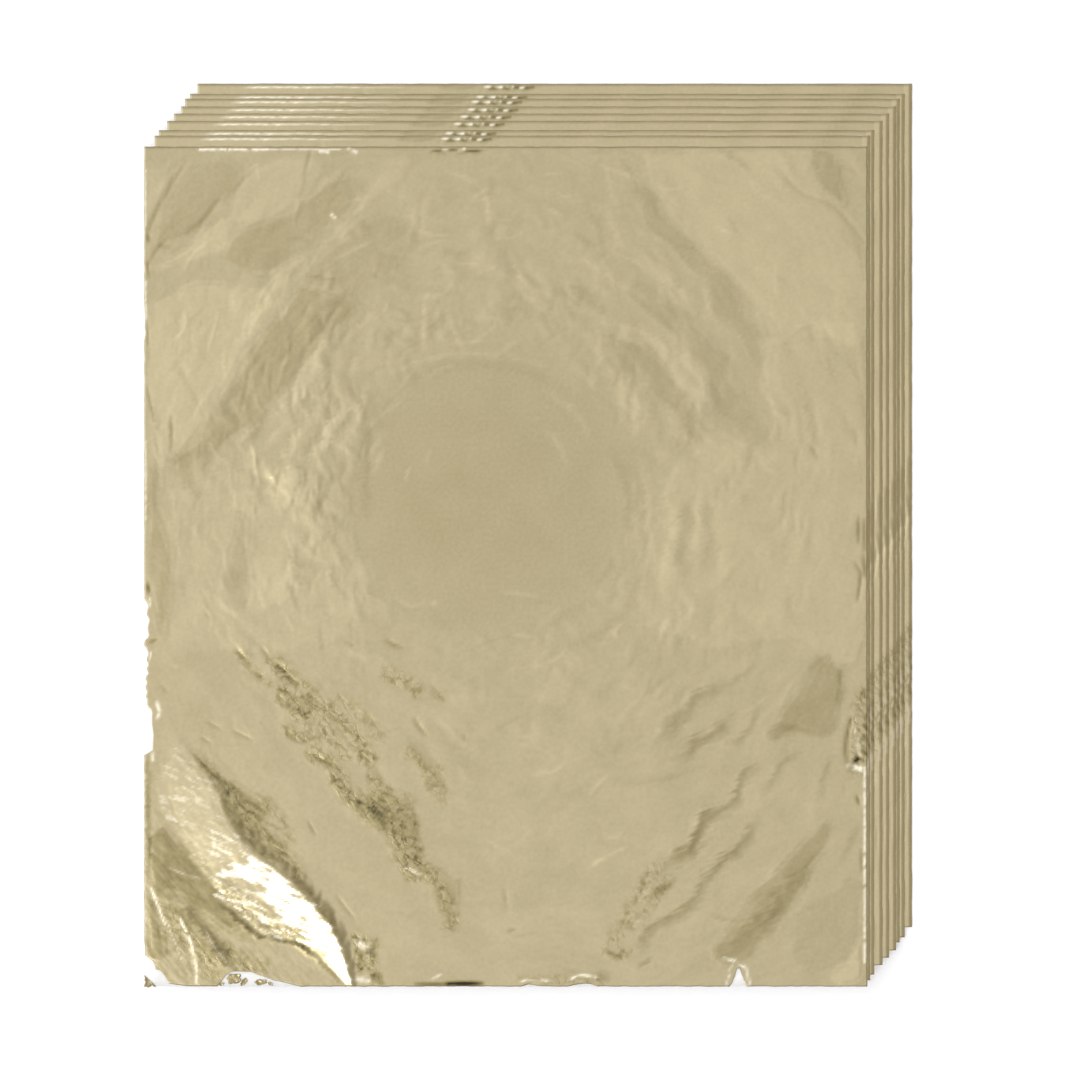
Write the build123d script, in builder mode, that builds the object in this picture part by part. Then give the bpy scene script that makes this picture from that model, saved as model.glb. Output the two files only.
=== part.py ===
from build123d import *
import os
from math import atan2, cos, exp, hypot, pi, sin

os.makedirs("parts", exist_ok=True)

# A loose pack of gold leaf: nine beaten metal leaves, each lying on its own sheet of
# tissue, fanned so that every sheet shows a narrow margin above and to the right of
# the sheet on top of it. Sizes are in millimetres, +Z is up and +Y runs along the
# leaves. The origin is on the table, under the middle of the fanned pack.

# The sheets. They are cut by hand, and the one on top came out a little wider and shorter.
leaf_width = 119.3
leaf_length = 140.8
top_leaf_spare_width = 1.2
top_leaf_short_length = 0.8
leaf_thickness = 0.05
tissue_thickness = 0.05
sheet_clearance = 0.02

# The fan: how far the bottom sheet stands out to the right and upwards from the top
# one, and the share of that which each sheet has, from the bottom of the pack.
fan_reach_x = 8.15
fan_reach_y = 10.2
fan_x_shares = (1.0, 0.849, 0.746, 0.671, 0.525, 0.389, 0.218, 0.133, 0.0)
fan_y_shares = (1.0, 0.833, 0.752, 0.623, 0.505, 0.385, 0.231, 0.140, 0.0)

# The crumple of a leaf. Ripples run round a smooth disc near the middle and grow towards
# the corners, wandering in and out as they go, and a shallow cockle lies over all of it.
# The foil is flat facets between creases, in a net of rows and columns that bow outwards.
crease_relief = 0.20
disc_radius = 23.0
disc_x_share = -0.022
disc_y_share = 0.090
ripple_pitch = 18.0
ripple_wander = 4.0
ripple_lobes = 5
ripple_growth = 14.0
ripple_height_share = 0.70
cockle_pitch_x = 21.0
cockle_pitch_y = 27.0
cockle_height_share = 0.30
crease_columns = 16
crease_rows = 19
crease_bow_share = 0.22

# Soft folds that stand up in the top leaf, which nothing presses flat. Each runs straight
# from one place to another, both as shares of the leaf's width and length from its lower
# left corner, and then has its shares of the fold's height and half width.
fold_height = 0.9
fold_width = 6.0
fold_shares = (
    (0.00, 0.33, 0.31, 0.00, 1.00, 0.80),
    (0.09, 0.40, 0.40, 0.12, 0.30, 0.70),
    (0.02, 0.62, 0.24, 0.90, 0.35, 1.00),
    (0.70, 0.94, 0.85, 0.70, 0.35, 0.90),
    (0.62, 0.78, 0.76, 0.60, 0.25, 0.80),
    (0.80, 0.05, 0.97, 0.22, 0.45, 0.90),
    (0.74, 0.22, 0.92, 0.38, 0.30, 0.80),
)

# Torn places along the edges, the same on every leaf. Each has its place along the
# edge from the lower left or lower right corner, its length there and its depth.
corner_tear_width = 3.6
corner_tear_height = 4.6
corner_bend_share = 0.62
notch_place = 42.8
notch_length = 8.6
notch_depth = 1.5
hem_tear_place = 13.8
hem_tear_length = 12.4
hem_tear_depth = 2.8
slit_place = 45.5
slit_length = 10.6
slit_depth = 0.6
split_place = 99.2
split_width = 1.5
split_depth = 3.5
nick_place = 39.4
nick_length = 7.0
nick_depth = 1.1
cut_overrun = 1.0

# Outlines of the tears, as shares of their length along the edge and of their depth.
notch_shares = ((-0.5, 0.0), (-0.41, 0.7), (-0.1, 1.0), (0.14, 0.86), (0.36, 0.9), (0.5, 0.0))
hem_shares = ((0.0, 0.0), (0.03, 0.95), (0.22, 1.0), (0.36, 0.72), (0.62, 0.55), (0.83, 0.2), (1.0, 0.0))
slit_shares = ((0.0, 0.0), (0.1, 0.3), (0.42, 0.45), (0.6, 1.0), (0.95, 0.9), (1.0, 0.0))
split_shares = ((-0.5, 0.0), (-0.3, 0.6), (-0.1, 1.0), (0.12, 0.96), (0.3, 0.4), (0.5, 0.0))
nick_shares = ((-0.5, 0.0), (-0.2, 0.45), (0.06, 1.0), (0.22, 0.55), (0.3, 0.8), (0.5, 0.0))

# Scraps of leaf that stayed on the top tissue in the torn corner and along the hem.
corner_flake_width = 1.6
corner_flake_height = 2.0
hem_flake_width = 1.5
hem_flake_height = 0.8
hem_flake_shares = ((0.13, 0.42), (0.30, 0.34), (0.47, 0.24))
flake_shares = ((-0.5, -0.35), (0.1, -0.5), (0.5, 0.05), (0.2, 0.5), (-0.35, 0.3))

# Heights in the pack, from the tissue that lies on the table.
leaf_count = len(fan_x_shares)
leaf_envelope = crease_relief + leaf_thickness
page_pitch = tissue_thickness + leaf_envelope + 2 * sheet_clearance
leaf_lift = tissue_thickness + sheet_clearance

top_leaf_width = leaf_width + top_leaf_spare_width
top_leaf_length = leaf_length - top_leaf_short_length

# The middle of the fanned pack, seen from the middle of the top sheet.
pack_mid_x = (fan_reach_x + leaf_width / 2 - top_leaf_width / 2) / 2
pack_mid_y = (fan_reach_y + leaf_length / 2 - top_leaf_length / 2) / 2


def sheet_centre(page):
    """Middle of a page as it lies in the fan."""
    x = fan_reach_x * fan_x_shares[page] - pack_mid_x
    y = fan_reach_y * fan_y_shares[page] - pack_mid_y
    return x, y


def crumple(x, y, width, length):
    """Height of the foil over its lowest point, at a place measured from its middle."""
    out_x = x - disc_x_share * width
    out_y = y - disc_y_share * length
    radius = hypot(out_x, out_y)
    past_disc = max(0.0, radius - disc_radius)
    wander = ripple_wander * sin(ripple_lobes * atan2(out_y, out_x))
    ripple = (1 - cos(2 * pi * (past_disc + wander) / ripple_pitch)) / 2
    ripple_share = ripple_height_share * past_disc / (past_disc + ripple_growth)
    cockle = (1 + cos(2 * pi * x / cockle_pitch_x) * cos(2 * pi * y / cockle_pitch_y)) / 2
    return crease_relief * (ripple_share * ripple + cockle_height_share * cockle)


def soft_folds(x, y, width, length):
    """Height that the folds of the top leaf add, at the same place."""
    height = 0.0
    for start_x, start_y, end_x, end_y, height_share, width_share in fold_shares:
        run_x = (end_x - start_x) * width
        run_y = (end_y - start_y) * length
        from_x = x + width / 2 - start_x * width
        from_y = y + length / 2 - start_y * length
        along = (from_x * run_x + from_y * run_y) / (run_x * run_x + run_y * run_y)
        along = min(1.0, max(0.0, along))
        off = hypot(from_x - along * run_x, from_y - along * run_y)
        height += fold_height * height_share * exp(-((off / (fold_width * width_share)) ** 2))
    return height


def torn_edge(shares, place, along, depth):
    """Points of a tear on the bottom edge, closed below it by the cut's overrun."""
    points = [(place + a * along, d * depth) for a, d in shares]
    start, end = points[0][0], points[-1][0]
    return [(start, -cut_overrun), *points, (end, -cut_overrun)]


def crease_net(width, length, folded):
    """Rows of the places where the creases meet, on the underside of the foil."""
    net = []
    for row in range(crease_rows + 1):
        v = 2 * row / crease_rows - 1
        bow = crease_bow_share * (1 - 2 * abs(v))
        places = []
        for column in range(crease_columns + 1):
            u = 2 * column / crease_columns - 1
            x = (u + bow * u * (1 - u * u)) * width / 2
            y = v * length / 2
            height = crumple(x, y, width, length)
            if folded:
                height += soft_folds(x, y, width, length)
            places.append(Vector(x, y, height))
        net.append(places)
    return net


def facets(net):
    """Two flat facets for each mesh of the net, creased along its higher diagonal."""
    for near_row, far_row in zip(net, net[1:]):
        for column in range(crease_columns):
            a, b = near_row[column : column + 2]
            d, c = far_row[column : column + 2]
            if a.Z + c.Z > b.Z + d.Z:
                yield a, b, c
                yield a, c, d
            else:
                yield a, b, d
                yield b, c, d


def creased_foil(net):
    """One thin solid: the facets of the foil's two sides and the rim between them."""
    up = Vector(0, 0, leaf_thickness)
    outlines = []
    for a, b, c in facets(net):
        outlines.append((c, b, a))
        outlines.append((a + up, b + up, c + up))
    right_side = [places[-1] for places in net]
    left_side = [places[0] for places in net]
    rim = [*net[0], *right_side[1:], *net[-1][-2::-1], *left_side[-2:0:-1]]
    for a, b in zip(rim, [*rim[1:], rim[0]]):
        outlines.append((a, b, b + up, a + up))
    return Solid(Shell([Face(Wire.make_polygon(outline)) for outline in outlines]))


def tear_outlines(width, length):
    """Each tear's plane, at the corner that it is measured from, and its outline there."""
    hem_plane = Plane(origin=(-width / 2, -length / 2, -cut_overrun))
    right_plane = Plane(
        origin=(width / 2, -length / 2, -cut_overrun), x_dir=(0, 1, 0), z_dir=(0, 0, 1)
    )
    left_plane = Plane(
        origin=(-width / 2, length / 2, -cut_overrun), x_dir=(0, -1, 0), z_dir=(0, 0, 1)
    )
    corner = (
        (-cut_overrun, -cut_overrun),
        (-cut_overrun, corner_tear_height),
        (0, corner_tear_height),
        (corner_bend_share * corner_tear_width, corner_bend_share * corner_tear_height),
        (corner_tear_width, 0),
        (corner_tear_width, -cut_overrun),
    )
    notch_from_top = length - notch_place
    return (
        (hem_plane, corner),
        (hem_plane, torn_edge(hem_shares, hem_tear_place, hem_tear_length, hem_tear_depth)),
        (hem_plane, torn_edge(slit_shares, slit_place, slit_length, slit_depth)),
        (hem_plane, torn_edge(split_shares, split_place, split_width, split_depth)),
        (right_plane, torn_edge(nick_shares, nick_place, nick_length, nick_depth)),
        (left_plane, torn_edge(notch_shares, notch_from_top, notch_length, notch_depth)),
    )


def gold_leaf(width, length, folded):
    """A leaf of beaten foil, creased all over and torn at its edges."""
    foil = creased_foil(crease_net(width, length, folded))
    with BuildPart() as leaf:
        add(foil)
        for plane, outline in tear_outlines(width, length):
            with BuildSketch(plane):
                with BuildLine():
                    Polyline(*outline, close=True)
                make_face()
        extrude(amount=2 * (fold_height + leaf_envelope + cut_overrun), mode=Mode.SUBTRACT)
    return leaf.part


def tissue(width, length):
    """The thin paper under a leaf, cut flush with it."""
    with BuildPart() as sheet:
        with BuildSketch():
            Rectangle(width, length)
        extrude(amount=tissue_thickness)
    return sheet.part


def leaf_flakes(width, length):
    """Scraps of foil that lie flat on the tissue where the leaf above it is torn away."""
    corner = ((0, 0), (corner_flake_width, 0), (0, corner_flake_height))
    outlines = [corner]
    for along_share, depth_share in hem_flake_shares:
        x = hem_tear_place + along_share * hem_tear_length
        y = depth_share * hem_tear_depth
        outlines.append(
            [(x + a * hem_flake_width, y + b * hem_flake_height) for a, b in flake_shares]
        )
    with BuildPart() as flakes:
        for outline in outlines:
            with BuildSketch(Plane(origin=(-width / 2, -length / 2, tissue_thickness))):
                with BuildLine():
                    Polyline(*outline, close=True)
                make_face()
        extrude(amount=leaf_thickness)
    return flakes.part


def put_in_pack(piece, name, page, height):
    """Lays a piece on its page of the fan, at a height over that page, and writes it."""
    x, y = sheet_centre(page)
    placed = piece.moved(Location((x, y, page * page_pitch + height)))
    placed.label = name
    export_step(placed, f"parts/{name}.step")


top_page = leaf_count - 1
leaf_below = gold_leaf(leaf_width, leaf_length, folded=False)
tissue_below = tissue(leaf_width, leaf_length)
for page in range(top_page):
    put_in_pack(tissue_below, f"tissue_{page + 1}", page, 0)
    put_in_pack(leaf_below, f"gold_leaf_{page + 1}", page, leaf_lift)

top_leaf = gold_leaf(top_leaf_width, top_leaf_length, folded=True)
top_tissue = tissue(top_leaf_width, top_leaf_length)
flakes = leaf_flakes(top_leaf_width, top_leaf_length)
put_in_pack(top_tissue, f"tissue_{leaf_count}", top_page, 0)
put_in_pack(top_leaf, f"gold_leaf_{leaf_count}", top_page, leaf_lift)
put_in_pack(flakes, "leaf_flakes", top_page, 0)
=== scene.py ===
import bpy
import numpy as np
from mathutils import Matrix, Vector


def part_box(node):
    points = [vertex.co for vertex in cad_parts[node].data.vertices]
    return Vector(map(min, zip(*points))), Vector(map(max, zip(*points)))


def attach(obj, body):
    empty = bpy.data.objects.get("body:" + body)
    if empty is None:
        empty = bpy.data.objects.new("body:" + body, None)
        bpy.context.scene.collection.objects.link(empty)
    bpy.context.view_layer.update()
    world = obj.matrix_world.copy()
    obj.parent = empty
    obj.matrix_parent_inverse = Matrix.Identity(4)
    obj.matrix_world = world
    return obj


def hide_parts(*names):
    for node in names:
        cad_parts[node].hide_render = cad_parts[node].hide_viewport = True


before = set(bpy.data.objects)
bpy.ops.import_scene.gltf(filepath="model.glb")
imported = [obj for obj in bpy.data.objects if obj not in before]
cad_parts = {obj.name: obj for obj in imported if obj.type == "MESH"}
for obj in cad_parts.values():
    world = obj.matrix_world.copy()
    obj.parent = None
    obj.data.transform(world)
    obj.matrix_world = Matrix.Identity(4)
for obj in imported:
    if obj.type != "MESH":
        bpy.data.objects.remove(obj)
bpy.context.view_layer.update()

# Interleaf tissues: nine sheets of thin white paper, one under every leaf and cut flush
# with it. The paper is calendered wood pulp with a faint cloudy formation. It lies loose
# and cockles a little between the leaves, and the lowest lies flat on the table.
millimetre = 0.001
page_count = 9
tissue_thickness = 0.03
tissue_clearance = 0.002
tissue_cockle = 0.012
cockle_width, cockle_length = 17, 23
tissue_grid = 2.0
tissue_white = (0.98, 0.975, 0.96)
cloud_shades = ((0.3, 0.965), (0.7, 1.015))


def linear(colour):
    """A colour as the eye sees it, in the numbers that the shader works in."""
    return [c / 12.92 if c <= 0.04045 else ((c + 0.055) / 1.055) ** 2.4 for c in colour] + [1.0]


def unevenness(u, v, seed):
    """Smooth bumps between about -0.7 and 0.7, one to each unit; a seed gives one pattern."""
    repeat = 128
    turns = np.random.default_rng(seed).random((repeat, repeat)) * 2 * np.pi
    column, row = np.floor(u).astype(int), np.floor(v).astype(int)
    across, up = u - column, v - row

    def lean(step_x, step_y):
        turn = turns[(column + step_x) % repeat, (row + step_y) % repeat]
        return np.cos(turn) * (across - step_x) + np.sin(turn) * (up - step_y)

    ease_x = across**3 * (across * (across * 6 - 15) + 10)
    ease_y = up**3 * (up * (up * 6 - 15) + 10)
    low = lean(0, 0) * (1 - ease_x) + lean(1, 0) * ease_x
    high = lean(0, 1) * (1 - ease_x) + lean(1, 1) * ease_x
    return low * (1 - ease_y) + high * ease_y


def thin_sheet(name, upper, lower):
    """A closed mesh between the two sides of a sheet, each given as rows of places in mm."""
    rows, columns = upper.shape[:2]
    count = rows * columns
    number = np.arange(count).reshape(rows, columns)
    over = np.stack([number[:-1, :-1], number[:-1, 1:], number[1:, 1:], number[1:, :-1]], -1)
    over = over.reshape(-1, 4)
    under = over[:, ::-1] + count
    rim = np.concatenate([number[0], number[1:, -1], number[-1, -2::-1], number[-2:0:-1, 0]])
    after = np.roll(rim, -1)
    side = np.stack([rim, rim + count, after + count, after], -1)
    places = np.concatenate([upper.reshape(-1, 3), lower.reshape(-1, 3)]) * millimetre
    mesh = bpy.data.meshes.new(name)
    mesh.from_pydata(places.tolist(), [], np.concatenate([over, under, side]).tolist())
    mesh.polygons.foreach_set("use_smooth", [True] * len(mesh.polygons))
    sheet = bpy.data.objects.new(name, mesh)
    bpy.context.collection.objects.link(sheet)
    return sheet


def even_steps(length, step):
    """Places along one side of a sheet, evenly spaced."""
    return np.linspace(0, length, int(round(length / step)) + 1)


def tissue_box(page):
    """The lowest and the highest corner of a tissue, in mm."""
    low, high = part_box(f"tissue_{page}")
    return np.array(low) / millimetre, np.array(high) / millimetre


def feed(tree, node, inputs):
    """Sets a node's sockets to plain values or links them to the sockets of other nodes."""
    for socket, value in inputs.items():
        if isinstance(value, bpy.types.NodeSocket):
            tree.links.new(value, node.inputs[socket])
        else:
            node.inputs[socket].default_value = value


def add_node(tree, kind, inputs, **settings):
    """A new node of a material, with its settings and what feeds it."""
    node = tree.nodes.new("ShaderNode" + kind)
    for setting, value in settings.items():
        setattr(node, setting, value)
    feed(tree, node, inputs)
    return node


def noise(tree, place, scale, detail):
    """Soft clouds in a material, with their size given by how many fit in a metre."""
    return add_node(tree, "TexNoise", {"Vector": place, "Scale": scale, "Detail": detail}).outputs


# Grain, for the paper and the foil alike: a fine pattern and the low relief that it gives.
grain = bpy.data.node_groups.new("grain", "ShaderNodeTree")
grain.interface.new_socket("Place", in_out="INPUT", socket_type="NodeSocketVector")
for name in ("Fineness", "Detail", "Strength", "Depth"):
    grain.interface.new_socket(name, in_out="INPUT", socket_type="NodeSocketFloat")
grain.interface.new_socket("Pattern", in_out="OUTPUT", socket_type="NodeSocketFloat")
grain.interface.new_socket("Normal", in_out="OUTPUT", socket_type="NodeSocketVector")
given = grain.nodes.new("NodeGroupInput").outputs
pattern = noise(grain, given["Place"], given["Fineness"], given["Detail"])["Fac"]
raised = {"Height": pattern, "Strength": given["Strength"], "Distance": given["Depth"]}
relief = add_node(grain, "Bump", raised).outputs["Normal"]
feed(grain, grain.nodes.new("NodeGroupOutput"), {"Pattern": pattern, "Normal": relief})

paper = bpy.data.materials.new("interleaf tissue")
paper.use_nodes = True
tree = paper.node_tree
formation = add_node(tree, "Group", {
    "Place": add_node(tree, "TexCoord", {}).outputs["Object"],
    "Fineness": 900, "Detail": 4, "Strength": 0.25, "Depth": 0.00003,
}, node_tree=grain).outputs
clouds = add_node(tree, "ValToRGB", {"Fac": formation["Pattern"]})
for stop, (position, shade) in zip(clouds.color_ramp.elements, cloud_shades):
    stop.position = position
    stop.color = linear([min(1.0, c * shade) for c in tissue_white])
feed(tree, tree.nodes["Principled BSDF"], {
    "Base Color": clouds.outputs["Color"],
    "Roughness": 0.85,
    "Specular IOR Level": 0.25,
    "Normal": formation["Normal"],
})

for page in range(1, page_count + 1):
    low, high = tissue_box(page)
    width, length = (high - low)[:2]
    x, y = np.meshgrid(even_steps(width, tissue_grid), even_steps(length, tissue_grid))
    cockle = tissue_cockle * unevenness(x / cockle_width, y / cockle_length, 40 + page)
    bed = low[2] + tissue_clearance + tissue_cockle
    under = np.stack([low[0] + x, low[1] + y, bed + cockle], -1)
    if page == 1:
        under[..., 2] = 0
    over = under + [0, 0, tissue_thickness]
    tissue = thin_sheet(f"tissue_sheet_{page}", over, under)
    tissue.data.materials.append(paper)
    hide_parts(f"tissue_{page}")
    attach(tissue, f"tissue_{page}")

# Leaves: nine sheets of metal beaten to foil, so thin that they take every crease of the
# hands and papers they have been between. All came off one press and share the creases:
# ripples round a smooth disc, flats and bands of sheen, hair creases, patches of crackle.
leaf_width = 120.5
leaf_length = 140.0
foil_thickness = 0.02
leaf_clearance = 0.02
half_room = 0.115
deepest = 0.11
disc_place = (57.6, 82.7)
disc_radius = 20.0

# The marks of the foil are noted where the photo shows them, in its pixels across and
# down. There the leaf's lower left corner is photo_corner, and 6 pixels are 1 mm.
photo_corner = (144.3, 986.5)
photo_scale = 6.0

# Slants to the lower right, as a share across and a share down: the streaks of the fold and of
# its painted highlights, the streaks of the corner and the flecks, and the hatching of the
# bands, which rises a little.
fold_slant = (0.91, 0.42)
streak_slant = (0.64, 0.77)
hatch_slant = (0.93, -0.36)


def on_leaf(points):
    """Places noted in the photo's pixels, in mm from the leaf's lower left corner."""
    (corner_x, corner_y), scale = photo_corner, photo_scale
    return [((across - corner_x) / scale, (corner_y - down) / scale) for across, down in points]


def curve_through(points):
    """The points of a smooth curve through a few places."""
    points = np.array(points, float)
    if len(points) < 3:
        return points
    ends = np.concatenate([[2 * points[0] - points[1]], points, [2 * points[-1] - points[-2]]])
    t = np.linspace(0, 1, 6)[:-1, None]
    spans = []
    for p0, p1, p2, p3 in zip(ends, ends[1:], ends[2:], ends[3:]):
        spans.append(
            0.5 * (2 * p1 + (p2 - p0) * t + (2 * p0 - 5 * p1 + 4 * p2 - p3) * t**2
                   + (3 * p1 - p0 - 3 * p2 + p3) * t**3)
        )
    return np.concatenate([*spans, points[-1:]])


def off_line(x, y, points):
    """Distance from a smooth line, positive on its left, and the share of it passed there."""
    points = curve_through(points)
    runs = np.diff(points, axis=0)
    lengths = np.hypot(*runs.T)
    starts = np.concatenate([[0], np.cumsum(lengths)])
    nearest = np.full(x.shape, np.inf)
    side, along = np.zeros(x.shape), np.zeros(x.shape)
    for (from_x, from_y), (run_x, run_y), length, start in zip(points, runs, lengths, starts):
        part = ((x - from_x) * run_x + (y - from_y) * run_y) / length**2
        part = np.clip(part, 0, 1)
        away_x, away_y = x - from_x - part * run_x, y - from_y - part * run_y
        away = np.hypot(away_x, away_y)
        closer = away < nearest
        nearest = np.where(closer, away, nearest)
        side = np.where(closer, np.sign(run_x * away_y - run_y * away_x), side)
        along = np.where(closer, (start + part * length) / starts[-1], along)
    return nearest * np.where(side == 0, 1, side), along


def near_to(x, y, points, reach):
    """Where the sheet is near enough to a line for the line to matter."""
    points = np.array(points)
    low, high = points.min(0) - reach, points.max(0) + reach
    return (x > low[0]) & (x < high[0]) & (y > low[1]) & (y < high[1])


def beside(x, y, line, reach):
    """Where the sheet is near to a line, and what off_line says of the line there."""
    here = near_to(x, y, line, reach)
    return here, *off_line(x[here], y[here], line)


def within(x, y, outline):
    """Distance in from the edge of an area, below zero outside it, and the way round it in mm."""
    edge = curve_through([*outline, outline[0]])
    inside = np.zeros(x.shape, bool)
    for (from_x, from_y), (to_x, to_y) in zip(edge, edge[1:]):
        if from_y != to_y:
            crossing = from_x + (y - from_y) * (to_x - from_x) / (to_y - from_y)
            inside ^= ((from_y > y) != (to_y > y)) & (x < crossing)
    off, along = off_line(x, y, [*outline, outline[0]])
    around = along * np.hypot(*np.diff(edge, axis=0).T).sum()
    return np.where(inside, np.abs(off), -np.abs(off)), around


def fading(off, half_width, steepness=2):
    """1 on a line, fading to nearly 0 past its half width."""
    return np.exp(-(np.abs(off / half_width) ** steepness))


def bumps(x, y, size, seed):
    """Unevenness with bumps of one size in mm."""
    return unevenness(x / size, y / size, seed)


def tapered(along, blunt, power):
    """1 at the middle of a line and less towards its ends, which are a little blunt."""
    return np.sin(np.pi * (blunt + (1 - 2 * blunt) * along)) ** power


def slanted(x, y, across, down):
    """Places measured along a slant and over it."""
    return across * x - down * y, down * x + across * y


def round_disc(x, y):
    """Distance and direction from the middle of the smooth disc."""
    out_x, out_y = x - disc_place[0], y - disc_place[1]
    return np.hypot(out_x, out_y), np.arctan2(out_y, out_x)


def lobe(angle, towards, spread):
    """1 in one direction from the disc, fading over a spread to both sides, in degrees."""
    turned = (angle - np.radians(towards) + np.pi) % (2 * np.pi) - np.pi
    return fading(turned, np.radians(spread))


def round_unevenness(ring, angle, in_radian, seed):
    """Bumps strung round the disc without a seam, so many in a radian."""
    before = unevenness(ring, angle * in_radian, seed)
    behind = unevenness(ring, (angle % (2 * np.pi)) * in_radian, seed + 60)
    share = 0.5 + 0.5 * np.cos(angle)
    return (before * share + behind * (1 - share)) / np.hypot(share, 1 - share)


# Sides of the disc where the foil is most rippled: a share, a direction and a spread in
# degrees. Ripples round it: their height and width in mm, bumps in a radian, and a seed.
lively_sides = ((0.75, 160, 45), (0.40, 15, 40), (0.35, 85, 40), (0.20, 310, 35))
ripple_sets = ((0.20, 5.5, 4.2, 5), (0.13, 2.6, 9.0, 4), (0.06, 1.3, 17.0, 14))
least_lively = 0.35
calm_from, calm_stretch = 36, 26


def ripple(x, y):
    """Height of the foil over its bed before it was creased, and its tone with painted light and shade.
    """
    radius, angle = round_disc(x, y)
    wander = 5.0 * bumps(x, y, 19, 1) + 2.2 * bumps(x, y, 6, 2)
    ring = radius + (wander + 0.9 * bumps(x, y, 2.2, 32))
    past = np.clip((radius - disc_radius) / 7, 0, 1)
    far = np.clip((radius - calm_from) / calm_stretch, 0, 1)
    lively = np.full(x.shape, least_lively)
    for share, towards, spread in lively_sides:
        lively += share * lobe(angle, towards, spread)
    lively = past * lively * (1 - 0.75 * far)
    patchy = np.clip(0.6 + 1.3 * bumps(x, y, 8, 33), 0.15, 1.05)
    height = np.zeros(x.shape)
    for rise, width, in_radian, seed in ripple_sets:
        height += rise * np.abs(round_unevenness(ring / width, angle, in_radian, seed))
    height *= lively * patchy
    height += 0.05 * unevenness(x / 31, y / 37, 6)
    height += 0.005 * bumps(x, y, 2.6, 8) * (0.4 + 0.6 * past)
    height += 0.0045 * bumps(x, y, 1.1, 9)
    # The tone is painted lighter to the right and darker over the disc, as painted light and shade. It is
    # also a little darker towards the lower left corner, and has streaks of painted sheen round the disc
    # and a fine grain.
    lighter_right = 0.035 * (x - leaf_width / 2) / 60
    darker_disc = 0.10 * fading(radius, 24, 4)
    darker_corner = 0.03 * np.clip(1.2 - (x + y) / 75, 0, 1)
    tone = lighter_right - darker_disc - darker_corner
    tone += 0.06 * past * patchy * round_unevenness(ring / 4.0, angle, 5.0, 34)
    tone += 0.05 * past * round_unevenness(ring / 1.6, angle, 12.0, 35)
    tone += 0.03 * (0.3 + past) * bumps(x, y, 0.9, 42)
    return height, tone
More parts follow.
